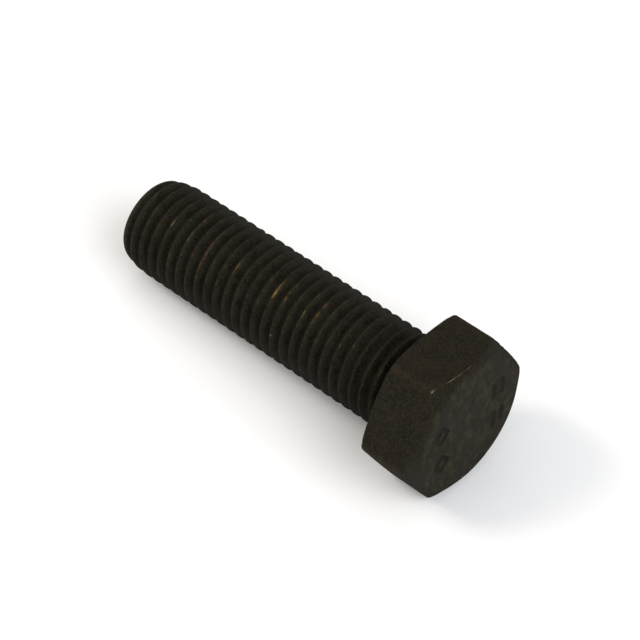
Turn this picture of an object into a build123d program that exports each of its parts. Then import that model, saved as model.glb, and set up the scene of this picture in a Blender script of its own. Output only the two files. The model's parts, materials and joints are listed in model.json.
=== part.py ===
"""Hex bolt, M16 x 2 x 55, threaded up to the head: one forged and thread-rolled piece of steel.

The shank is 0.3 mm over its nominal length. The bolt's axis is X, and the origin is on that axis
at the bearing plane under the head. +X runs along the thread to the tip, the head lies towards -X,
and +Z is square to one of the head's flats.
"""

from math import cos, hypot, pi, radians, tan
import os

from build123d import *

os.makedirs("parts", exist_ok=True)

# Thread, in millimetres and degrees
SHANK_LENGTH = 55.3
PITCH = 2.0
FLANK_ANGLE = 30.0
CREST_RADIUS = 15.84 / 2
PITCH_RADIUS = 14.58 / 2
ROOT_RADIUS = 13.45 / 2

# Neck under the head, and the run-out, where the ridge rises and the root falls away from the neck
NECK_RADIUS = 14.5 / 2
NECK_FILLET = 0.6
RUNOUT_START = 1.4
RUNOUT_END = 3.0

# Rolled tip: the crests fall away along a crown, and the end face has a small broken edge
TIP_CROWN_LENGTH = 4.8
TIP_CROWN_RADIUS = 13.2
TIP_EDGE = 0.2

# Head
HEAD_SIDES = 6
ACROSS_FLATS = 23.8
HEAD_HEIGHT = 10.0
CORNER_RADIUS = 1.0
TOP_FACE_RADIUS = 21.3 / 2
TOP_CHAMFER_ANGLE = 30.0
WASHER_FACE_RADIUS = 22.5 / 2
WASHER_FACE_HEIGHT = 0.35
UNDERSIDE_ANGLE = 12.0

# Plain marks pressed into the top of the head: ringed lozenges on one side, pairs of bars on the other
MARK_DEPTH = 0.15
MARK_FROM_AXIS = 6.3
MARK_SPACING = 6.0
LOZENGE_LENGTH = 4.4
LOZENGE_WIDTH = 3.6
LOZENGE_GROOVE = 0.8
BAR_LENGTH = 3.4
BAR_WIDTH = 1.0
BAR_SPACING = 1.8
BAR_TURN = 90.0
BARS_PER_MARK = 2
MARKS_PER_SIDE = 2

# The ridge is swept one turn at a time, from inside the neck to beyond the tip, then cut to shape
TURN_START = -0.81
TURN_COUNT = 29
RIDGE_EMBED = 0.2
RIDGE_OVERRUN = 0.08
CORE_EMBED = 2.0

flat_radius = ACROSS_FLATS / 2
corner_reach = flat_radius / cos(pi / HEAD_SIDES)
chamfer_depth = (corner_reach - TOP_FACE_RADIUS) * tan(radians(TOP_CHAMFER_ANGLE))
underside_depth = (corner_reach - flat_radius) * tan(radians(UNDERSIDE_ANGLE))
crown_start = SHANK_LENGTH - TIP_CROWN_LENGTH


def ridge_half_width(radius):
    """Half the thickness of the thread's ridge at a radius, between its straight flanks."""
    return PITCH / 4 - (radius - PITCH_RADIUS) * tan(radians(FLANK_ANGLE))


def crown_radius_at(x):
    """Radius of the crown, an arc tangent to the crests at its start."""
    return CREST_RADIUS - TIP_CROWN_RADIUS + (TIP_CROWN_RADIUS**2 - (x - crown_start) ** 2) ** 0.5


def lozenge_corners(inset):
    """Corners of the lozenge with its sides moved inwards."""
    share = 1 - inset * hypot(LOZENGE_LENGTH, LOZENGE_WIDTH) / (LOZENGE_LENGTH * LOZENGE_WIDTH / 2)
    half_length = share * LOZENGE_LENGTH / 2
    half_width = share * LOZENGE_WIDTH / 2
    return (0, half_length), (-half_width, 0), (0, -half_length), (half_width, 0)


tip_break_x = SHANK_LENGTH - TIP_EDGE
tip_break_radius = crown_radius_at(tip_break_x)
tip_face_radius = tip_break_radius - TIP_EDGE

ridge_foot_radius = ROOT_RADIUS - RIDGE_EMBED
ridge_top_radius = CREST_RADIUS + RIDGE_OVERRUN

# One turn of the thread's right-hand ridge, starting on the +Z side
with BuildPart() as ridge_turn:
    with BuildLine():
        Helix(PITCH, PITCH, PITCH_RADIUS, center=(TURN_START, 0, 0), direction=(1, 0, 0))
    with BuildSketch(Plane(origin=(TURN_START, 0, PITCH_RADIUS), x_dir=(1, 0, 0), z_dir=(0, -1, 0))):
        with BuildLine():
            Polyline(
                (-ridge_half_width(ridge_foot_radius), ridge_foot_radius - PITCH_RADIUS),
                (ridge_half_width(ridge_foot_radius), ridge_foot_radius - PITCH_RADIUS),
                (ridge_half_width(ridge_top_radius), ridge_top_radius - PITCH_RADIUS),
                (-ridge_half_width(ridge_top_radius), ridge_top_radius - PITCH_RADIUS),
                close=True,
            )
        make_face()
    sweep(is_frenet=True)

# The space the thread may fill: run-out cone, crest cylinder, crown and end face
with BuildPart() as thread_envelope:
    with BuildSketch(Plane.XY):
        with BuildLine():
            Polyline(
                (SHANK_LENGTH, 0),
                (-CORE_EMBED, 0),
                (-CORE_EMBED, ROOT_RADIUS),
                (RUNOUT_START, ROOT_RADIUS),
                (RUNOUT_END, CREST_RADIUS),
                (crown_start, CREST_RADIUS),
            )
            RadiusArc((crown_start, CREST_RADIUS), (tip_break_x, tip_break_radius), TIP_CROWN_RADIUS)
            Polyline((tip_break_x, tip_break_radius), (SHANK_LENGTH, tip_face_radius), (SHANK_LENGTH, 0))
        make_face()
    revolve(axis=Axis.X)

ridge_pieces = []
for turn in range(TURN_COUNT):
    with BuildPart() as cut_turn:
        with Locations((turn * PITCH, 0, 0)):
            add(ridge_turn.part)
        add(thread_envelope.part, mode=Mode.INTERSECT)
    ridge_pieces.append(cut_turn.part)

# Head: a hexagon with slightly rounded corners, cut by one cone above and a flatter one below
with BuildPart() as head:
    with BuildSketch(Plane.YZ.offset(-HEAD_HEIGHT)):
        RegularPolygon(radius=corner_reach, side_count=HEAD_SIDES)
        fillet(vertices(), radius=CORNER_RADIUS)
    extrude(amount=HEAD_HEIGHT)
    with BuildSketch(Plane.XY):
        with BuildLine():
            Polyline(
                (-HEAD_HEIGHT, 0),
                (-HEAD_HEIGHT, TOP_FACE_RADIUS),
                (chamfer_depth - HEAD_HEIGHT, corner_reach),
                (-WASHER_FACE_HEIGHT - underside_depth, corner_reach),
                (-WASHER_FACE_HEIGHT, flat_radius),
                (-WASHER_FACE_HEIGHT, WASHER_FACE_RADIUS),
                (0, WASHER_FACE_RADIUS),
                (0, 0),
                close=True,
            )
        make_face()
    revolve(axis=Axis.X, mode=Mode.INTERSECT)
    with BuildSketch(Plane.YZ.offset(-HEAD_HEIGHT)):
        with Locations((MARK_FROM_AXIS, 0)):
            with GridLocations(0, MARK_SPACING, 1, MARKS_PER_SIDE):
                Polygon(*lozenge_corners(0))
                Polygon(*lozenge_corners(LOZENGE_GROOVE), mode=Mode.SUBTRACT)
        with Locations((-MARK_FROM_AXIS, 0)):
            with GridLocations(BAR_SPACING, MARK_SPACING, BARS_PER_MARK, MARKS_PER_SIDE):
                SlotOverall(BAR_LENGTH, BAR_WIDTH, rotation=BAR_TURN)
    extrude(amount=MARK_DEPTH, mode=Mode.SUBTRACT)

# The whole bolt: head, plain neck with its fillet, threaded core and the ridge, turn by turn
with BuildPart() as hex_bolt:
    add(head.part)
    with BuildSketch(Plane.XY):
        with BuildLine():
            Polyline(
                (NECK_FILLET, NECK_RADIUS),
                (RUNOUT_START, NECK_RADIUS),
                (RUNOUT_END, ROOT_RADIUS),
                (SHANK_LENGTH, ROOT_RADIUS),
                (SHANK_LENGTH, 0),
                (-CORE_EMBED, 0),
                (-CORE_EMBED, NECK_RADIUS + NECK_FILLET),
                (0, NECK_RADIUS + NECK_FILLET),
            )
            RadiusArc((0, NECK_RADIUS + NECK_FILLET), (NECK_FILLET, NECK_RADIUS), NECK_FILLET)
        make_face()
    revolve(axis=Axis.X)
    add(ridge_pieces)

hex_bolt.part.label = "hex_bolt"
export_step(hex_bolt.part, "parts/hex_bolt.step")
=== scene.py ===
"""A black-finished hex bolt on a pale floor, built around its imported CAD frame.

Lengths are in metres in the CAD frame: the bolt's axis is X, the head lies towards -X, the tip towards +X,
and +Z is square to one of the head's flats. Angles round the axis run from +Y towards +Z.
"""

import json
from math import atan, cos, radians, sin, tan

import bmesh
import bpy
import numpy as np
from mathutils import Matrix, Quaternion, Vector
from mathutils.geometry import delaunay_2d_cdt


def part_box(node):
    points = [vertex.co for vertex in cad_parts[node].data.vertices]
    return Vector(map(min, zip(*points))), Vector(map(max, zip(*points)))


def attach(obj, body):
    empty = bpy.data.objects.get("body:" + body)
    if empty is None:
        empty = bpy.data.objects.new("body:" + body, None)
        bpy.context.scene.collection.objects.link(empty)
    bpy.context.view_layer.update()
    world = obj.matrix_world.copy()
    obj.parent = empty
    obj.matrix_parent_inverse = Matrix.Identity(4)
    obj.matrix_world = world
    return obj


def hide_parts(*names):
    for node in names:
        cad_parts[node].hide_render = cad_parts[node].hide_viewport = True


MM = 0.001
TURN = 2 * np.pi

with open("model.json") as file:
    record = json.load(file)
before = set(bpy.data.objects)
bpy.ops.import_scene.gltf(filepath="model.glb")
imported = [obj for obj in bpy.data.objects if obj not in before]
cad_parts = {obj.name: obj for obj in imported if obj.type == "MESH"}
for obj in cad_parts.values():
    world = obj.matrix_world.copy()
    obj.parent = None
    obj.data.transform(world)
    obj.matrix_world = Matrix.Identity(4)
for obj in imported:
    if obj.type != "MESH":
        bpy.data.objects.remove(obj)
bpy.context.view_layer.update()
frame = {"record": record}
node_low, node_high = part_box("hex_bolt")
mounts = {mount["name"]: mount for mount in frame["record"]["mounts"]}

# Sizes read from the frame
HEAD_TOP = node_low.x
SHANK_END = node_high.x
FLAT_RADIUS = node_high.z
CREST_RADIUS = mounts["external_thread"]["dims"]["r_mm"] * MM

# Thread. The phase is the place of the crests on the +Y side, as a share of the pitch. The bands are the
# distances from a crest over which its wear and the painted shade of the crest fade, and over which the
# root's dirt begins
PITCH = 2.0 * MM
FLANK_ANGLE = radians(30)
PITCH_RADIUS = 7.29 * MM
ROOT_RADIUS = 6.725 * MM
CREST_PHASE = 0.345
CREST_SOFTNESS = 0.2 * MM
ROOT_SOFTNESS = 0.26 * MM
CREST_BAND = (0.12 * MM, 0.42 * MM)
ROOT_BAND = (0.8 * MM, 1.0 * MM)
# Rubbed spots on the crests, painted gold as glints where the key lamp catches them: the turn and strength
# of each, then the angle and the size they all share
RUBBED_GLINT_SPOTS = ((9, 0.22), (12, 0.42), (16, 0.22), (21, 0.28), (23, 0.35), (25, 0.28))
GLINT_ANGLE = radians(61)
GLINT_SPOT_LENGTH = 0.9 * MM
GLINT_SPOT_WIDTH = 0.3 * MM
ROWS_PER_PITCH = 18
ROW_CROWDING = 0.6

# Neck and run-out under the head, crown and broken edge at the tip
NECK_RADIUS = 7.25 * MM
NECK_FILLET = 0.6 * MM
NECK_FILLET_ROWS = 5
RUNOUT_START = 1.4 * MM
RUNOUT_END = 3.0 * MM
TIP_CROWN_LENGTH = 4.8 * MM
TIP_CROWN_RADIUS = 13.2 * MM
TIP_FACE_RADIUS = 6.89 * MM
ENVELOPE_SOFTNESS = 0.16 * MM
TIP_DISH_DEPTH = 0.12 * MM
# Rings of the dish in the end face: the share of the face's radius, and of the dish's depth
TIP_DISH_RINGS = ((0.985, 0.0), (0.93, 0.1), (0.82, 0.55), (0.6, 0.9), (0.35, 1.0), (0.15, 1.0))

# Head
HEAD_SIDES = 6
SECTOR = TURN / HEAD_SIDES
CORNER_RADIUS = 1.0 * MM
TOP_FACE_RADIUS = 10.65 * MM
TOP_CHAMFER_ANGLE = radians(30)
UNDERSIDE_ANGLE = radians(12)
UNDERSIDE_FLAT_RADIUS = 11.55 * MM
WASHER_FACE_RADIUS = 11.25 * MM
WASHER_FACE_HEIGHT = 0.35 * MM
WASHER_EDGE_SOFTNESS = 0.08 * MM
EDGE_SOFTNESS = 0.24 * MM
TOP_CORNER_SOFTNESS = 0.55 * MM
LOW_CORNER_SOFTNESS = 0.6 * MM
RIM_SOFTNESS = 0.5 * MM
EDGE_STEPS = 5
CORNER_FADE = 3
SIDE_MARGIN = 0.05 * MM
TOP_RING_RADIUS = 10.1 * MM
TOP_RINGS = (9.9 * MM, 9.6 * MM, 9.2 * MM)
TOP_SPACING = 0.8 * MM
BEARING_RINGS = (10.9 * MM, 10.3 * MM, 9.6 * MM, 8.6 * MM)
CORNER_CENTRE = (FLAT_RADIUS - CORNER_RADIUS) / cos(SECTOR / 2)
CORNER_HALF = SECTOR / 2 - atan(CORNER_CENTRE * sin(SECTOR / 2) / FLAT_RADIUS)

# Wear of the head's edges; the top edge is worn most along one flat and at one corner
RIM_WEAR = 0.42
SIDE_EDGE_WEAR = 0.5
LOW_EDGE_WEAR = 0.5
WASHER_EDGE_WEAR = 0.3
TOP_EDGE_WEAR = 0.42
TOP_EDGE_MOST = 1.2
WORN_EDGE = radians(83)
WORN_EDGE_HALF = (radians(12), radians(27))
WORN_EDGE_EXTRA = 0.48
WORN_CORNER = radians(60)
WORN_CORNER_EXTRA = 0.55
WEAR_SHARPNESS = 3

# Columns round the axis: each sixth has a rounded corner and a flat; the head's columns are split finer
CORNER_COLUMNS = 2
FLAT_COLUMNS = 16
HEAD_SPLIT = 4

# Steps from the head's top face down its chamfer, its flats and its underside
CHAMFER_STEPS = 6
FLAT_STEPS = 20
UNDERSIDE_STEPS = 4

# Marks in the top of the head: ringed lozenges towards +Y, pairs of bars towards -Y
MARK_DEPTH = 0.15 * MM
MARK_FROM_AXIS = 6.3 * MM
MARK_SPACING = 6.0 * MM
LOZENGE = (4.4 * MM, 3.6 * MM)
LOZENGE_GROOVE = 0.8 * MM
LOZENGE_ROUNDING = 0.3 * MM
BAR = (3.4 * MM, 1.0 * MM)
BAR_SPACING = 1.8 * MM
BAR_ROUNDING = 0.48 * MM
LEAST_ROUNDING = 0.05 * MM
MARK_CORNER_STEPS = 5
MARK_CLEARANCE = TOP_SPACING / 3
# Steps down a mark's wall: how far inside its outline, and the share of its depth
MARK_WALL = (
    (-0.12 * MM, 0.0),
    (-0.04 * MM, 0.1),
    (0.04 * MM, 0.42),
    (0.12 * MM, 0.82),
    (0.22 * MM, 1.0),
)

# Handling marks: dents on the crests, on the head's edges and corners, and on its flats. Each line has how
# many there are, the range of their radii, that of their depths, and the most wear in them. The span is
# the part of the head's height, from the bearing face, where the dents on its flats lie
SEED = 16
CREST_DENTS = (70, (0.35 * MM, 0.9 * MM), (0.04 * MM, 0.16 * MM), 0.9)
EDGE_DENTS = (46, (0.3 * MM, 0.8 * MM), (0.03 * MM, 0.1 * MM), 0.5)
CORNER_DENTS = (30, (0.3 * MM, 0.8 * MM), (0.03 * MM, 0.12 * MM), 0.7)
FLAT_DENTS = (60, (0.35 * MM, 0.9 * MM), (0.01 * MM, 0.035 * MM), 0.1)
FLAT_DENT_SPAN = (0.1, 0.75)
DENT_WEAR_RANGE = (0.3, 1)

# Camera, as fitted to the photograph's view of the bolt
CAMERA_DISTANCE = 336.53 * MM
CAMERA_AZIMUTH = radians(220.214)
CAMERA_ELEVATION = radians(47.996)
CAMERA_AIM = Vector((15.658, 4.088, 7.643)) * MM
CAMERA_ROLL = radians(-1.633)
CAMERA_LENS = 128.38
CAMERA_SENSOR = 36.0
CAMERA_CLIP_RATIO = 100

# Options of the triangulation: only what lies inside the outlines, and how near two points may be
CDT_INSIDE = 1
CDT_EPSILON = 1e-5

# Colours, linear
OXIDE_DARK = (0.0020, 0.0019, 0.0014)
HEAD_OXIDE = (0.0078, 0.0065, 0.0035)
TOP_SCUFF = (0.0270, 0.0236, 0.0128)
# Thread oxide, painted darker on the crests as painted shade and lighter on the flanks as painted light
CREST_SHADED_OXIDE = (0.0068, 0.0074, 0.0053)
FLANK_LIT_OXIDE = (0.0112, 0.0120, 0.0088)
OXIDE_BROWN = (0.0092, 0.0066, 0.0044)
OXIDE_GREY = (0.0180, 0.0180, 0.0142)
GRIME = (0.0030, 0.0026, 0.0017)
WORN_BROWN = (0.024, 0.0155, 0.0085)
BRONZE = (0.042, 0.028, 0.015)
# Gold of the crest spots: a painted glint over worn metal
GOLD_GLINT = (0.27, 0.165, 0.07)
BARE_STEEL = (0.30, 0.275, 0.23)
GLOSS_TINT = (1.0, 0.87, 0.62, 1.0)
GLOSS_LEVEL = 0.1
FLOOR_COLOUR = (0.84, 0.865, 0.94)

# Noises in the finish: size of their features, detail, roughness and, for one, stretch along each axis
PATCHES = (5.0 * MM, 3.0, 0.55)
BLOTCHES = (2.4 * MM, 5.0, 0.62)
HUES = (1.5 * MM, 3.0, 0.6)
SCUFFS = (1.3 * MM, 5.0, 0.68, (1, 1, 0.6))
RUBS = (1.1 * MM, 3.0, 0.6)
GRAIN = (0.34 * MM, 4.0, 0.65)
FINE_GRAIN = (0.16 * MM, 2.0, 0.55)

# The range of noise, wear or place that each layer of the finish fades over. Two more numbers are its
# strength at each end of the range, where that isn't 0 and 1
SHANK_SPAN = (0.0, 4 * MM)
TOP_SPAN = (-HEAD_TOP - 0.5 * MM, -HEAD_TOP - 0.1 * MM)
# Bronze is strongest on the side where the key lamp glints: painted sheen over real wear on the crests
BRONZE_SHEEN_SIDE = (0.7 * CREST_RADIUS, 0.97 * CREST_RADIUS, 0.3, 1.0)
SCUFF_SPREAD = (0.42, 0.6)
BROWN_SPREAD = (0.44, 0.64, 0.0, 0.8)
DARK_SPREAD = (0.38, 0.58, 0.75, 0.0)
GREY_SPREAD = (0.4, 0.72)
HEAD_GRIME_SPREAD = (0.4, 0.6, 0.3, 0.9)
SHANK_GRIME_SPREAD = (0.35, 0.6, 0.1, 0.6)
BRONZE_PATCH_SPREAD = (0.46, 0.6)
BRONZE_RUB_SPREAD = (0.46, 0.64)
WORN_BROWN_SPREAD = (0.65, 1.2, 0.0, 0.7)
BARE_SPREAD = (1.0, 1.58)
GLINT_SPREAD = (0.38, 0.58)
EDGE_BREAKUP = 0.7

# Roughness, as a range in the same form or as one number, how metallic the bronze is, and the depth and
# strength of each bump
GRAIN_ROUGHNESS = (0.3, 0.7, 0.36, 0.5)
BLOTCH_ROUGHNESS = (0.35, 0.65, 0.12, 0.24)
EDGE_ON_ROUGHNESS = (0.4, 0.9, 0.0, 0.4)
METAL_ROUGHNESS = 0.36
FLOOR_ROUGHNESS = 0.9
FLOOR_GLOSS = 0.1
BRONZE_METALLIC = 0.6
BLOTCH_BUMP = (0.08 * MM, 0.7)
GRAIN_BUMP = (0.07 * MM, 0.9)
FINE_BUMP = (0.015 * MM, 0.8)

# Stage and light
FLOOR_REACH = 1.6
FLOOR_COLUMNS = 64
RESTING_PASSES = 4
STUDIO_COLOUR = (1.0, 0.97, 0.88)
STUDIO_STRENGTH = 0.7
# Each light: name, azimuth, elevation, distance, size, power, colour
LIGHTS = (
    ("key", radians(128), radians(48), 0.9, 0.3, 3.6, (1.0, 0.92, 0.78)),
    ("fill", radians(262), radians(38), 0.8, 0.6, 4.2, (1.0, 0.99, 0.96)),
)


def smooth_min(a, b, softness):
    """The smaller of two values, with the crossing rounded over a width."""
    share = np.clip(0.5 + 0.5 * (b - a) / softness, 0, 1)
    return b + (a - b) * share - softness * share * (1 - share)


def smooth_max(a, b, softness):
    """The larger of two values, with the crossing rounded over a width."""
    return -smooth_min(-a, -b, softness)


def smoothstep(value, low, high):
    """0 up to low, 1 from high on, and a smooth rise between them."""
    share = np.clip((value - low) / (high - low), 0, 1)
    return share * share * (3 - 2 * share)


def unit(vectors):
    """Vectors of length one, along the first axis of an array."""
    return vectors / np.linalg.norm(vectors, axis=0)


# ---------------------------------------------------------------- columns


def coarse_columns():
    """Angles of the shank's columns: close together at the six corners, even along the flats."""
    corner = np.linspace(-CORNER_HALF, CORNER_HALF, CORNER_COLUMNS, endpoint=False)
    flat = np.linspace(CORNER_HALF, SECTOR - CORNER_HALF, FLAT_COLUMNS, endpoint=False)
    sector = np.concatenate([corner, flat])
    return np.concatenate([sector + side * SECTOR for side in range(HEAD_SIDES)])


def split_columns(angles, parts):
    """The same columns with each gap between two of them split into equal parts."""
    following = np.append(angles[1:], angles[0] + TURN)
    steps = np.arange(parts) / parts
    return (angles[:, None] + (following - angles)[:, None] * steps).ravel()


SHANK_ANGLES = coarse_columns()
HEAD_ANGLES = split_columns(SHANK_ANGLES, HEAD_SPLIT)


def around(x, radius, angles):
    """Points at a place along the axis, a radius and an angle; each may be one value or an array."""
    x, radius, angles = np.broadcast_arrays(x, radius, angles)
    return np.stack([x, radius * np.cos(angles), radius * np.sin(angles)], axis=-1)


# ---------------------------------------------------------------- the skin being gathered


class Skin:
    """Vertices, faces and three per-vertex values, gathered ring by ring.

    worn is how readily a spot loses its black finish, and sunk the hollows that hold oil and dirt. crest
    marks the thread's crests; it sets painted shade on the crests and painted light on the flanks, and
    rises above 1 at the painted glint spots.
    """

    def __init__(self):
        self.points = []
        self.faces = []
        self.values = {"worn": [], "crest": [], "sunk": []}

    def add(self, points, **values):
        start = len(self.points)
        points = np.asarray(points).reshape(-1, 3)
        self.points.extend(points)
        for name, kept in self.values.items():
            kept.extend(np.broadcast_to(values.get(name, 0.0), len(points)))
        return list(range(start, start + len(points)))

    def face(self, corners):
        """A face from these points; a point named twice in a row counts once."""
        kept = [c for i, c in enumerate(corners) if c != corners[i - 1]]
        if len(kept) > 2:
            self.faces.append(kept)

    def bridge(self, ring, following):
        """Quads between two rings with the same number of points."""
        for i in range(len(ring)):
            j = (i + 1) % len(ring)
            self.face((ring[i], ring[j], following[j], following[i]))

    def halve(self, ring, following):
        """Faces from a ring to one with half as many points."""
        for i in range(len(following)):
            j = (i + 1) % len(following)
            self.face((ring[2 * i], ring[2 * i + 1], ring[2 * j], following[j], following[i]))

    def fan(self, ring, centre):
        for i in range(len(ring)):
            self.face((ring[i], ring[(i + 1) % len(ring)], centre))


# ---------------------------------------------------------------- thread


def crown_radius(x):
    """Radius of the crests, which fall away along an arc at the tip."""
    start = SHANK_END - TIP_CROWN_LENGTH
    past = np.clip(x - start, 0, None)
    return CREST_RADIUS - TIP_CROWN_RADIUS + np.sqrt(TIP_CROWN_RADIUS**2 - past**2)


def envelope_radius(x):
    """The largest radius the thread may reach: run-out, crest, crown and the tip's broken edge."""
    runout = ROOT_RADIUS + (CREST_RADIUS - ROOT_RADIUS) * (x - RUNOUT_START) / (RUNOUT_END - RUNOUT_START)
    broken_edge = TIP_FACE_RADIUS + (SHANK_END - x)
    tip = smooth_min(crown_radius(x), broken_edge, ENVELOPE_SOFTNESS)
    return smooth_min(tip, runout, ENVELOPE_SOFTNESS)


def core_radius(x):
    """The smallest radius: the neck, falling to the root along the run-out."""
    return NECK_RADIUS + (ROOT_RADIUS - NECK_RADIUS) * smoothstep(x, RUNOUT_START, RUNOUT_END)


def thread_radius(x, from_crest):
    """Radius of the thread's surface at a distance along the axis from the nearest crest."""
    flank = PITCH_RADIUS + (PITCH / 4 - from_crest) / tan(FLANK_ANGLE)
    ridge = smooth_min(flank, envelope_radius(x), CREST_SOFTNESS)
    return smooth_max(ridge, core_radius(x), ROOT_SOFTNESS)


def pitch_rows():
    """Places of the rows across one pitch, from 0 to 1 and crowded at the crest and the root."""
    even = np.arange(ROWS_PER_PITCH) / ROWS_PER_PITCH
    return even - ROW_CROWDING * np.sin(2 * TURN * even) / (2 * TURN)


def rubbed_glint_spots(x):
    """Spots on the crests where the finish is worn through, painted bright as glints along the line where
    the key lamp catches the crests.
    """
    along = (SHANK_ANGLES - GLINT_ANGLE) * CREST_RADIUS / GLINT_SPOT_LENGTH
    spots = np.zeros_like(x)
    for turn, strength in RUBBED_GLINT_SPOTS:
        crest = PITCH * (turn + SHANK_ANGLES / TURN + CREST_PHASE)
        spots += strength * np.exp(-(along**2) - ((x - crest) / GLINT_SPOT_WIDTH) ** 2)
    return spots


def add_shank(skin):
    """The shank's grid, whose rows follow the helix. Returns its rings at the neck and at the tip."""
    turns = SHANK_ANGLES / TURN
    first = int(np.floor(NECK_FILLET / PITCH - CREST_PHASE)) - 1
    last = int(np.ceil(SHANK_END / PITCH - CREST_PHASE)) + 1
    rows = (np.arange(first, last)[:, None] + pitch_rows()).ravel()
    x = PITCH * (rows[:, None] + turns + CREST_PHASE)
    from_crest = np.abs(rows - np.round(rows))[:, None] * PITCH
    radius = thread_radius(x, from_crest)
    crest = (1 - smoothstep(from_crest, *CREST_BAND)) * smoothstep(x, RUNOUT_START, RUNOUT_END)
    # Worn spots on the crests, painted as glints where the key lamp catches them
    crest += rubbed_glint_spots(x)
    sunk = smoothstep(from_crest, *ROOT_BAND) * smoothstep(x, RUNOUT_START, RUNOUT_END)
    points = skin.add(around(x, radius, SHANK_ANGLES), crest=crest.ravel(), sunk=sunk.ravel())
    grid = np.array(points).reshape(x.shape)

    # Rows that would pass either end gather into one ring there
    neck = skin.add(around(NECK_FILLET, NECK_RADIUS, SHANK_ANGLES))
    tip_crest = np.abs((SHANK_END / PITCH - turns - CREST_PHASE + 0.5) % 1 - 0.5) * PITCH
    tip = skin.add(around(SHANK_END, thread_radius(SHANK_END, tip_crest), SHANK_ANGLES))
    grid = np.where(x <= NECK_FILLET, neck, np.where(x >= SHANK_END, tip, grid))

    # One turn on, a row meets the row that is a whole pitch further along
    after = np.hstack([grid[:-ROWS_PER_PITCH, 1:], grid[ROWS_PER_PITCH:, :1]])
    before = grid[:-ROWS_PER_PITCH]
    quads = np.stack([before[:-1], after[:-1], after[1:], before[1:]], axis=-1)
    for quad in quads.reshape(-1, 4):
        skin.face(quad)
    return neck, tip


def add_tip_face(skin, ring):
    """The end of the shank, with a shallow dish."""
    rim = np.array([skin.points[i] for i in ring])
    for share, depth in TIP_DISH_RINGS:
        inner = skin.add(rim * (1, share, share) - (TIP_DISH_DEPTH * depth, 0, 0))
        skin.bridge(ring, inner)
        ring = inner
    centre = skin.add((SHANK_END - TIP_DISH_DEPTH, 0, 0))[0]
    skin.fan(ring, centre)


# ---------------------------------------------------------------- head


def head_radius(angles):
    """Distance from the axis to the hexagon's side or its rounded corner."""
    from_corner = np.abs((angles + SECTOR / 2) % SECTOR - SECTOR / 2)
    side = FLAT_RADIUS / np.cos(SECTOR / 2 - from_corner)
    aside = np.clip(CORNER_CENTRE * np.sin(from_corner), 0, CORNER_RADIUS)
    corner = CORNER_CENTRE * np.cos(from_corner) + np.sqrt(CORNER_RADIUS**2 - aside**2)
    return np.where(from_corner < CORNER_HALF, corner, side)


def corner_share(angles):
    """1 at the hexagon's corners, falling to 0 a little way along its flats."""
    from_corner = np.abs((angles + SECTOR / 2) % SECTOR - SECTOR / 2)
    return 1 - smoothstep(from_corner, CORNER_HALF, CORNER_FADE * CORNER_HALF)


def top_edge_wear(angles):
    """Wear of the edge where the chamfer meets the flats: heavy along one flat and at its near corner."""
    edge = 1 - smoothstep(np.abs(angles - WORN_EDGE), *WORN_EDGE_HALF)
    corner = np.exp(-(((angles - WORN_CORNER) / CORNER_HALF) ** 2))
    return np.clip(TOP_EDGE_WEAR + WORN_EDGE_EXTRA * edge + WORN_CORNER_EXTRA * corner, 0, TOP_EDGE_MOST)


def head_rows():
    """Rows round the head's profile from top to bearing face, each an array of x, radius and wear."""
    reach = head_radius(HEAD_ANGLES)
    level = np.ones_like(reach)
    chamfer = HEAD_TOP + (reach - TOP_FACE_RADIUS) * tan(TOP_CHAMFER_ANGLE)
    underside = -WASHER_FACE_HEIGHT - (reach - FLAT_RADIUS) * tan(UNDERSIDE_ANGLE)
    at_corner = corner_share(HEAD_ANGLES)
    top_softness = EDGE_SOFTNESS + (TOP_CORNER_SOFTNESS - EDGE_SOFTNESS) * at_corner
    low_softness = EDGE_SOFTNESS + (LOW_CORNER_SOFTNESS - EDGE_SOFTNESS) * at_corner
    # Each corner of the profile: x, radius, softness, wear, and how many steps lead to the next corner
    corners = (
        (HEAD_TOP * level, TOP_RING_RADIUS * level, 0, 0, 1),
        (HEAD_TOP * level, TOP_FACE_RADIUS * level, RIM_SOFTNESS, RIM_WEAR, CHAMFER_STEPS),
        (chamfer, reach, top_softness, top_edge_wear(HEAD_ANGLES), FLAT_STEPS),
        (underside, reach, low_softness, LOW_EDGE_WEAR, UNDERSIDE_STEPS),
        (-WASHER_FACE_HEIGHT * level, UNDERSIDE_FLAT_RADIUS * level, 0, 0, 1),
        (-WASHER_FACE_HEIGHT * level, WASHER_FACE_RADIUS * level, 0, 0, 1),
        (0 * level, WASHER_FACE_RADIUS * level, WASHER_EDGE_SOFTNESS, WASHER_EDGE_WEAR, 1),
        (0 * level, BEARING_RINGS[0] * level, 0, 0, 0),
    )
    rows = []
    for number, (*here, softness, wear, _) in enumerate(corners):
        here = np.stack(here)
        made = [np.stack([*here, 0 * level])]
        if np.any(softness):
            toward = unit(np.stack(corners[number - 1][:2]) - here)
            away = unit(np.stack(corners[number + 1][:2]) - here)
            made = []
            for t in np.linspace(0, 1, EDGE_STEPS + 1):
                point = here + softness * ((1 - t) ** 2 * toward + t**2 * away)
                made.append(np.stack([*point, wear * level * np.sin(np.pi * t) ** WEAR_SHARPNESS]))
        if rows:
            start = rows[-1]
            steps = corners[number - 1][-1]
            for t in np.linspace(0, 1, steps + 1)[1:-1]:
                rows.append(start + (made[0] - start) * t)
        rows.extend(made)
    return rows


def circle_rings(skin, ring, x, radii):
    """Flat rings inwards from one of the head's. Each halves the points until they match the shank's."""
    for radius in radii:
        if len(ring) > len(SHANK_ANGLES):
            angles = split_columns(SHANK_ANGLES, len(ring) // len(SHANK_ANGLES) // 2)
            inner = skin.add(around(x, radius, angles))
            skin.halve(ring, inner)
        else:
            inner = skin.add(around(x, radius, SHANK_ANGLES))
            skin.bridge(ring, inner)
        ring = inner
    return ring


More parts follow.
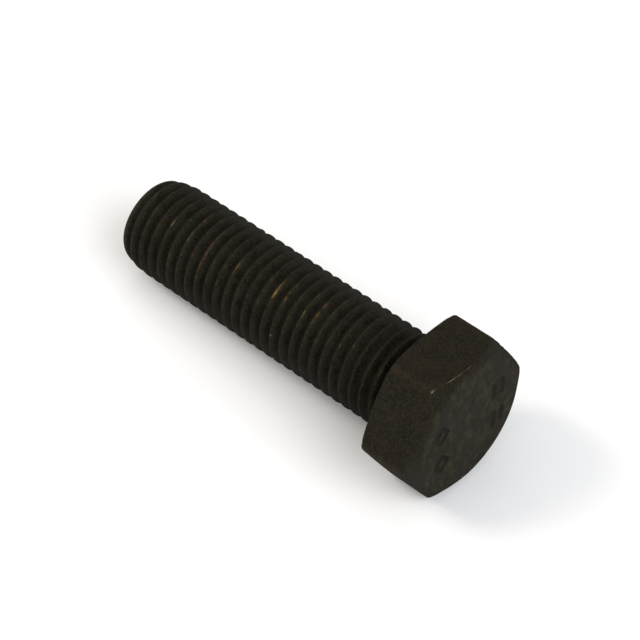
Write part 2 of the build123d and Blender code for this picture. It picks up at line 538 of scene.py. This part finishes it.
def add_head(skin):
    """The head's sides, from the ring inside its top to the bearing face. Returns those two rings."""
    upright = SIDE_EDGE_WEAR * corner_share(HEAD_ANGLES)
    rings = []
    for x, radius, worn in head_rows():
        side = np.where(radius < head_radius(HEAD_ANGLES) - SIDE_MARGIN, 0, upright)
        rings.append(skin.add(around(x, radius, HEAD_ANGLES), worn=np.maximum(worn, side)))
    for ring, following in zip(rings, rings[1:]):
        skin.bridge(ring, following)
    return rings[0], rings[-1]


def add_neck(skin, bearing_ring, shank_ring):
    """The bearing face and the fillet that runs from it into the neck."""
    ring = circle_rings(skin, bearing_ring, 0, BEARING_RINGS)
    for angle in np.linspace(0, np.pi / 2, NECK_FILLET_ROWS, endpoint=False):
        x = NECK_FILLET * (1 - cos(angle))
        radius = NECK_RADIUS + NECK_FILLET * (1 - sin(angle))
        inner = skin.add(around(x, radius, SHANK_ANGLES))
        skin.bridge(ring, inner)
        ring = inner
    skin.bridge(ring, shank_ring)


# ---------------------------------------------------------------- marks in the head's top


def convex_outline(corners, rounding, inset):
    """A convex outline with its sides moved inwards and its corners rounded, as (y, z) points."""
    sides = np.roll(corners, -1, axis=0) - corners
    inward = np.stack([-sides[:, 1], sides[:, 0]], axis=1)
    inward /= np.linalg.norm(inward, axis=1)[:, None]
    radius = max(rounding - inset, LEAST_ROUNDING)
    points = []
    for corner, before, after in zip(corners, np.roll(inward, 1, axis=0), inward):
        centre = corner + (before + after) / (1 + before @ after) * (inset + radius)
        for t in np.linspace(0, 1, MARK_CORNER_STEPS):
            between = (1 - t) * before + t * after
            points.append(centre - radius * between / np.linalg.norm(between))
    return np.array(points)


def mark_outlines():
    """The marks: each has its corners, its rounding and its groove's width, or None for a plain hollow."""
    marks = []
    for z in (MARK_SPACING / 2, -MARK_SPACING / 2):
        long, wide = LOZENGE[0] / 2, LOZENGE[1] / 2
        lozenge = np.array([(0, -long), (wide, 0), (0, long), (-wide, 0)])
        marks.append((lozenge + (MARK_FROM_AXIS, z), LOZENGE_ROUNDING, LOZENGE_GROOVE))
        long, wide = BAR[0] / 2, BAR[1] / 2
        bar = np.array([(-wide, -long), (wide, -long), (wide, long), (-wide, long)])
        for aside in (BAR_SPACING / 2, -BAR_SPACING / 2):
            marks.append((bar + (aside - MARK_FROM_AXIS, z), BAR_ROUNDING, None))
    return marks


def inside(point, outline):
    """Whether a point lies inside a convex outline."""
    sides = np.roll(outline, -1, axis=0) - outline
    offsets = point - outline
    return bool(np.all(sides[:, 0] * offsets[:, 1] - sides[:, 1] * offsets[:, 0] > 0))


def top_seeds(outlines, rim):
    """Points spread evenly over the top face, clear of the marks."""
    seeds = []
    for radius in np.arange(rim - TOP_SPACING, 0, -TOP_SPACING):
        count = int(TURN * radius / TOP_SPACING)
        for angle in np.arange(count) / count * TURN + radius / TOP_SPACING:
            point = np.array([radius * cos(angle), radius * sin(angle)])
            nearest = min(np.linalg.norm(outline - point, axis=1).min() for outline in outlines)
            if nearest > MARK_CLEARANCE and not any(inside(point, outline) for outline in outlines):
                seeds.append(point)
    return seeds


def add_top(skin, head_ring):
    """The flat top of the head, with its marks pressed in."""
    rim_ring = circle_rings(skin, head_ring, HEAD_TOP, TOP_RINGS)
    loops = [rim_ring]
    outlines = []
    for corners, rounding, groove in mark_outlines():
        ring = None
        steps = list(MARK_WALL)
        if groove:
            steps += [(groove - inset, depth) for inset, depth in reversed(MARK_WALL)]
        for inset, depth in steps:
            outline = convex_outline(corners, rounding, inset)
            level = np.full(len(outline), HEAD_TOP + MARK_DEPTH * depth)
            inner = skin.add(np.column_stack([level, outline]), sunk=depth)
            if ring is None:
                outlines.append(outline)
                loops.append(inner)
            else:
                skin.bridge(ring, inner)
            ring = inner
        centre = skin.add((HEAD_TOP + MARK_DEPTH * depth, *corners.mean(axis=0)), sunk=depth)[0]
        skin.fan(ring, centre)

    seeds = top_seeds(outlines, TOP_RINGS[-1])
    numbers = [i for loop in loops for i in loop]
    numbers += skin.add([(HEAD_TOP, *seed) for seed in seeds])
    edges = []
    start = 0
    for loop in loops:
        edges += [(start + i, start + (i + 1) % len(loop)) for i in range(len(loop))]
        start += len(loop)
    flat = [Vector(skin.points[i][1:] / MM) for i in numbers]
    _, _, triangles, origins, _, _ = delaunay_2d_cdt(flat, edges, [], CDT_INSIDE, CDT_EPSILON, True)
    for triangle in triangles:
        corners = [numbers[origins[i][0]] for i in triangle]
        middle = np.mean([skin.points[i][1:] for i in corners], axis=0)
        if not any(inside(middle, outline) for outline in outlines):
            skin.face(corners)


# ---------------------------------------------------------------- dents


def crest_places(rng, count):
    """Random places along the thread's crests."""
    angle = rng.uniform(0, TURN, count)
    turns = rng.integers(int(RUNOUT_END / PITCH) + 1, int(SHANK_END / PITCH), count)
    x = PITCH * (turns + angle / TURN + CREST_PHASE)
    return around(x, np.minimum(CREST_RADIUS, crown_radius(np.minimum(x, SHANK_END))), angle)


def chamfer_edge_x(angles):
    """Where along the axis the chamfer meets the head's sides."""
    return HEAD_TOP + (head_radius(angles) - TOP_FACE_RADIUS) * tan(TOP_CHAMFER_ANGLE)


def edge_places(rng, count):
    """Random places along the edge between the chamfer and the sides."""
    angle = rng.uniform(0, TURN, count)
    return around(chamfer_edge_x(angle), head_radius(angle), angle)


def corner_places(rng, count):
    """Random places down the hexagon's corners, most of them near the chamfer."""
    angle = rng.integers(0, HEAD_SIDES, count) * SECTOR + rng.normal(0, CORNER_HALF, count)
    x = chamfer_edge_x(angle) * (1 - rng.uniform(0, 1, count) ** 2)
    return around(x, head_radius(angle), angle)


def flat_places(rng, count):
    """Random places on the sides of the head."""
    angle = rng.uniform(0, TURN, count)
    return around(HEAD_TOP * rng.uniform(*FLAT_DENT_SPAN, count), head_radius(angle), angle)


def dent(skin):
    """Presses the dents in, each towards the axis, and wears the finish thin round it."""
    rng = np.random.default_rng(SEED)
    points = np.array(skin.points)
    worn = np.array(skin.values["worn"], dtype=float)
    for places, (count, radii, depths, wear) in (
        (crest_places, CREST_DENTS),
        (edge_places, EDGE_DENTS),
        (corner_places, CORNER_DENTS),
        (flat_places, FLAT_DENTS),
    ):
        centres = places(rng, count)
        reaches = rng.uniform(*radii, count)
        sinks = rng.uniform(*depths, count)
        for centre, reach, sink in zip(centres, reaches, sinks):
            share = np.clip(1 - np.sum((points - centre) ** 2, axis=1) / reach**2, 0, 1) ** 2
            near = np.flatnonzero(share)
            inward = -points[near, 1:] / np.linalg.norm(points[near, 1:], axis=1)[:, None]
            points[near, 1:] += inward * (share[near] * sink)[:, None]
            worn[near] = np.maximum(worn[near], share[near] * wear * rng.uniform(*DENT_WEAR_RANGE))
    skin.points = list(points)
    skin.values["worn"] = worn


# ---------------------------------------------------------------- the piece


def make_bolt(material):
    """The whole bolt as one closed skin."""
    skin = Skin()
    neck_ring, tip_ring = add_shank(skin)
    add_tip_face(skin, tip_ring)
    top_ring, bearing_ring = add_head(skin)
    add_neck(skin, bearing_ring, neck_ring)
    add_top(skin, top_ring)
    dent(skin)

    used = sorted({i for face in skin.faces for i in face})
    place = {old: new for new, old in enumerate(used)}
    mesh = bpy.data.meshes.new("hex_bolt_steel")
    mesh.from_pydata(
        [tuple(skin.points[i]) for i in used],
        [],
        [[place[i] for i in face] for face in skin.faces],
    )
    for name, values in skin.values.items():
        layer = mesh.attributes.new(name, "FLOAT", "POINT")
        layer.data.foreach_set("value", [float(values[i]) for i in used])
    mesh.materials.append(material)

    shaper = bmesh.new()
    shaper.from_mesh(mesh)
    bmesh.ops.recalc_face_normals(shaper, faces=shaper.faces)
    shaper.to_mesh(mesh)
    shaper.free()
    mesh.shade_smooth()
    bolt = bpy.data.objects.new("hex_bolt_steel", mesh)
    bpy.context.scene.collection.objects.link(bolt)
    return bolt


# ---------------------------------------------------------------- materials


class Nodes:
    """A material's node tree, with short ways to add the nodes it needs."""

    def __init__(self, name):
        self.material = bpy.data.materials.new(name)
        self.material.use_nodes = True
        self.tree = self.material.node_tree
        self.shader = self.tree.nodes["Principled BSDF"]
        self.place = self.add("ShaderNodeTexCoord").outputs["Object"]

    def add(self, kind, **settings):
        node = self.tree.nodes.new(kind)
        for name, value in settings.items():
            setattr(node, name, value)
        return node

    def link(self, value, socket):
        """Joins an output to a socket, or sets the socket to a plain value."""
        if isinstance(value, bpy.types.NodeSocket):
            self.tree.links.new(value, socket)
        else:
            socket.default_value = value

    def noise(self, size, detail, roughness, stretch=(1, 1, 1)):
        """Noise from 0 to 1 whose features are about this size, in metres."""
        mapping = self.add("ShaderNodeMapping")
        mapping.inputs["Scale"].default_value = [share / size for share in stretch]
        node = self.add("ShaderNodeTexNoise")
        node.inputs["Scale"].default_value = 1.0
        node.inputs["Detail"].default_value = detail
        node.inputs["Roughness"].default_value = roughness
        self.link(self.place, mapping.inputs["Vector"])
        self.link(mapping.outputs["Vector"], node.inputs["Vector"])
        return node.outputs["Fac"]

    def toward(self, *way):
        """How far a point lies from the origin in a direction, in metres."""
        node = self.add("ShaderNodeVectorMath", operation="DOT_PRODUCT")
        self.link(self.place, node.inputs[0])
        node.inputs[1].default_value = way
        return node.outputs["Value"]

    def attribute(self, name):
        return self.add("ShaderNodeAttribute", attribute_name=name).outputs["Fac"]

    def math(self, operation, a, b, clamp=False):
        node = self.add("ShaderNodeMath", operation=operation, use_clamp=clamp)
        self.link(a, node.inputs[0])
        self.link(b, node.inputs[1])
        return node.outputs["Value"]

    def spread(self, value, low, high, to_low=0.0, to_high=1.0):
        """A value from low to high, mapped smoothly to another range."""
        node = self.add("ShaderNodeMapRange", interpolation_type="SMOOTHSTEP")
        names = ("Value", "From Min", "From Max", "To Min", "To Max")
        for name, number in zip(names, (value, low, high, to_low, to_high)):
            self.link(number, node.inputs[name])
        return node.outputs["Result"]

    def mix(self, share, a, b):
        """One colour, or a second one where share is 1."""
        node = self.add("ShaderNodeMix", data_type="RGBA")
        self.link(share, node.inputs["Factor"])
        for value, name in ((a, "A"), (b, "B")):
            socket = [i for i in node.inputs if i.name == name and i.type == "RGBA"][0]
            self.link((*value, 1.0) if isinstance(value, tuple) else value, socket)
        return [o for o in node.outputs if o.type == "RGBA"][0]

    def blend(self, share, a, b):
        """One number, or a second one where share is 1."""
        node = self.add("ShaderNodeMix", data_type="FLOAT")
        for value, socket in zip((share, a, b), (node.inputs[0], node.inputs[2], node.inputs[3])):
            self.link(value, socket)
        return node.outputs[0]

    def bump(self, height, distance, strength, normal=None):
        node = self.add("ShaderNodeBump")
        node.inputs["Distance"].default_value = distance
        node.inputs["Strength"].default_value = strength
        self.link(height, node.inputs["Height"])
        if normal is not None:
            self.link(normal, node.inputs["Normal"])
        return node.outputs["Normal"]


def black_steel():
    """Oiled black oxide over steel, worn by rubbing to bronze on the crests and to bare metal on sharp
    edges; painted light and shade on the thread, painted sheen on the bronze along one side, painted
    glints on a few crests.
    """
    nodes = Nodes("black_steel")
    patches = nodes.noise(*PATCHES)
    blotches = nodes.noise(*BLOTCHES)
    hues = nodes.noise(*HUES)
    scuffs = nodes.noise(*SCUFFS)
    rubs = nodes.noise(*RUBS)
    grain = nodes.noise(*GRAIN)
    fine = nodes.noise(*FINE_GRAIN)
    worn = nodes.attribute("worn")
    crest = nodes.attribute("crest")
    sunk = nodes.attribute("sunk")
    on_shank = nodes.spread(nodes.toward(1, 0, 0), *SHANK_SPAN)
    on_top = nodes.spread(nodes.toward(-1, 0, 0), *TOP_SPAN)
    # The side facing the key lamp's glint line, for painted sheen on the bronze
    sheen_side = nodes.spread(nodes.toward(0, cos(GLINT_ANGLE), sin(GLINT_ANGLE)), *BRONZE_SHEEN_SIDE)

    # Painted shade on the crests and painted light on the flanks
    shank_lit_and_shaded_oxide = nodes.mix(crest, FLANK_LIT_OXIDE, CREST_SHADED_OXIDE)
    oxide = nodes.mix(on_shank, HEAD_OXIDE, shank_lit_and_shaded_oxide)
    raised = nodes.math("SUBTRACT", on_top, sunk, clamp=True)
    scuffed = nodes.math("MULTIPLY", raised, nodes.spread(scuffs, *SCUFF_SPREAD))
    oxide = nodes.mix(scuffed, oxide, TOP_SCUFF)
    oxide = nodes.mix(nodes.spread(hues, *BROWN_SPREAD), oxide, OXIDE_BROWN)
    oxide = nodes.mix(nodes.spread(blotches, *DARK_SPREAD), oxide, OXIDE_DARK)
    oxide = nodes.mix(nodes.spread(grain, *GREY_SPREAD), oxide, OXIDE_GREY)
    head_grime = nodes.spread(scuffs, *HEAD_GRIME_SPREAD)
    shank_grime = nodes.spread(hues, *SHANK_GRIME_SPREAD)
    dirt = nodes.math("MULTIPLY", sunk, nodes.blend(on_shank, head_grime, shank_grime))
    oxide = nodes.mix(dirt, oxide, GRIME)

    # Bronze worn onto the crests, real wear, made stronger on the key lamp's side as painted sheen
    bronze_wear_and_sheen = nodes.math("MULTIPLY", crest, nodes.spread(patches, *BRONZE_PATCH_SPREAD), clamp=True)
    bronze_wear_and_sheen = nodes.math("MULTIPLY", bronze_wear_and_sheen, nodes.spread(rubs, *BRONZE_RUB_SPREAD))
    bronze_wear_and_sheen = nodes.math("MULTIPLY", bronze_wear_and_sheen, sheen_side)
    colour = nodes.mix(bronze_wear_and_sheen, oxide, BRONZE)

    edge = nodes.math("ADD", worn, nodes.math("MULTIPLY", rubs, EDGE_BREAKUP))
    colour = nodes.mix(nodes.spread(edge, *WORN_BROWN_SPREAD), colour, WORN_BROWN)
    bare = nodes.spread(edge, *BARE_SPREAD)
    colour = nodes.mix(bare, colour, BARE_STEEL)

    # Rubbed spots raise the crest value above 1; there the colour is painted gold, a painted glint over
    # worn metal
    glint = nodes.math("SUBTRACT", crest, 1.0, clamp=True)
    glint = nodes.math("MULTIPLY", glint, nodes.spread(rubs, *GLINT_SPREAD))
    colour = nodes.mix(glint, colour, GOLD_GLINT)
    nodes.link(colour, nodes.shader.inputs["Base Color"])

    metal = nodes.math("MAXIMUM", bare, glint)
    metal = nodes.math("MAXIMUM", metal, nodes.math("MULTIPLY", bronze_wear_and_sheen, BRONZE_METALLIC))
    nodes.link(metal, nodes.shader.inputs["Metallic"])
    grain_rough = nodes.spread(grain, *GRAIN_ROUGHNESS)
    rough = nodes.math("ADD", grain_rough, nodes.spread(blotches, *BLOTCH_ROUGHNESS))
    rough = nodes.blend(metal, rough, METAL_ROUGHNESS)
    # An oiled, dusty finish loses its gloss where it is seen edge on
    facing = nodes.add("ShaderNodeLayerWeight").outputs["Facing"]
    rough = nodes.math("ADD", rough, nodes.spread(facing, *EDGE_ON_ROUGHNESS), clamp=True)
    nodes.link(rough, nodes.shader.inputs["Roughness"])
    nodes.shader.inputs["Specular IOR Level"].default_value = GLOSS_LEVEL
    nodes.shader.inputs["Specular Tint"].default_value = GLOSS_TINT

    normal = nodes.bump(blotches, *BLOTCH_BUMP)
    normal = nodes.bump(grain, *GRAIN_BUMP, normal)
    normal = nodes.bump(fine, *FINE_BUMP, normal)
    nodes.link(normal, nodes.shader.inputs["Normal"])
    return nodes.material


def floor_paper():
    """Pale matt paper that can't be seen from below."""
    nodes = Nodes("floor_paper")
    nodes.shader.inputs["Base Color"].default_value = (*FLOOR_COLOUR, 1.0)
    nodes.shader.inputs["Roughness"].default_value = FLOOR_ROUGHNESS
    nodes.shader.inputs["Specular IOR Level"].default_value = FLOOR_GLOSS
    seen_from_below = nodes.add("ShaderNodeNewGeometry").outputs["Backfacing"]
    clear = nodes.add("ShaderNodeBsdfTransparent")
    choice = nodes.add("ShaderNodeMixShader")
    output = nodes.tree.nodes["Material Output"]
    nodes.link(seen_from_below, choice.inputs["Fac"])
    nodes.link(nodes.shader.outputs["BSDF"], choice.inputs[1])
    nodes.link(clear.outputs["BSDF"], choice.inputs[2])
    nodes.link(choice.outputs["Shader"], output.inputs["Surface"])
    return nodes.material


# ---------------------------------------------------------------- stage, light and camera


def resting_line(mesh):
    """Slope and height at the origin of the floor, which touches the bolt at its head and at its tip."""
    points = np.array([v.co for v in mesh.vertices])
    head = points[points[:, 0] < 0]
    tip = points[points[:, 0] > SHANK_END / 2]
    slope = 0.0
    for _ in range(RESTING_PASSES):
        low_head = head[np.argmin(head[:, 2] - slope * head[:, 0])]
        low_tip = tip[np.argmin(tip[:, 2] - slope * tip[:, 0])]
        slope = (low_tip[2] - low_head[2]) / (low_tip[0] - low_head[0])
    return slope, low_head[2] - slope * low_head[0]


def make_floor(material, slope, height):
    """A round sheet tilted to the slope, at its height below the origin."""
    angles = np.arange(FLOOR_COLUMNS) / FLOOR_COLUMNS * TURN
    shaper = bmesh.new()
    rim = [shaper.verts.new((FLOOR_REACH * cos(a), FLOOR_REACH * sin(a), 0)) for a in angles]
    shaper.faces.new(rim)
    mesh = bpy.data.meshes.new("floor")
    shaper.to_mesh(mesh)
    shaper.free()
    mesh.materials.append(material)
    floor = bpy.data.objects.new("floor", mesh)
    floor.location = (0, 0, height)
    floor.rotation_euler = (0, -atan(slope), 0)
    bpy.context.scene.collection.objects.link(floor)
    return floor


def direction(azimuth, elevation):
    """Unit vector towards a place round the bolt: azimuth 0 is towards -Y and 90 degrees towards +X."""
    return Vector((sin(azimuth) * cos(elevation), -cos(azimuth) * cos(elevation), sin(elevation)))


def soft_light(name, azimuth, elevation, distance, size, power, colour):
    """A square area light that looks at the bolt from a direction round it."""
    lamp = bpy.data.lights.new(name, "AREA")
    lamp.size = size
    lamp.energy = power
    lamp.color = colour
    back = direction(azimuth, elevation)
    holder = bpy.data.objects.new(name, lamp)
    holder.location = CAMERA_AIM + back * distance
    holder.rotation_mode = "QUATERNION"
    holder.rotation_quaternion = back.to_track_quat("Z", "Y")
    bpy.context.scene.collection.objects.link(holder)


def make_world():
    """Even, warm light from every side."""
    world = bpy.data.worlds.new("studio")
    world.use_nodes = True
    background = world.node_tree.nodes["Background"]
    background.inputs["Color"].default_value = (*STUDIO_COLOUR, 1.0)
    background.inputs["Strength"].default_value = STUDIO_STRENGTH
    bpy.context.scene.world = world


def make_camera():
    """The photograph's view, with the roll turned about the line of sight."""
    camera = bpy.data.cameras.new("camera")
    camera.lens = CAMERA_LENS
    camera.sensor_width = CAMERA_SENSOR
    camera.clip_start = CAMERA_DISTANCE / CAMERA_CLIP_RATIO
    camera.clip_end = CAMERA_DISTANCE * CAMERA_CLIP_RATIO
    holder = bpy.data.objects.new("camera", camera)
    holder.location = direction(CAMERA_AZIMUTH, CAMERA_ELEVATION) * CAMERA_DISTANCE
    look = (holder.location - CAMERA_AIM).to_track_quat("Z", "Y")
    holder.rotation_mode = "QUATERNION"
    holder.rotation_quaternion = look @ Quaternion((0, 0, 1), CAMERA_ROLL)
    bpy.context.scene.collection.objects.link(holder)
    bpy.context.scene.camera = holder


bolt = make_bolt(black_steel())
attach(bolt, "root")
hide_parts("hex_bolt")

floor = make_floor(floor_paper(), *resting_line(bolt.data))

for light in LIGHTS:
    soft_light(*light)
make_world()
make_camera()
bpy.context.scene.view_settings.view_transform = "Standard"
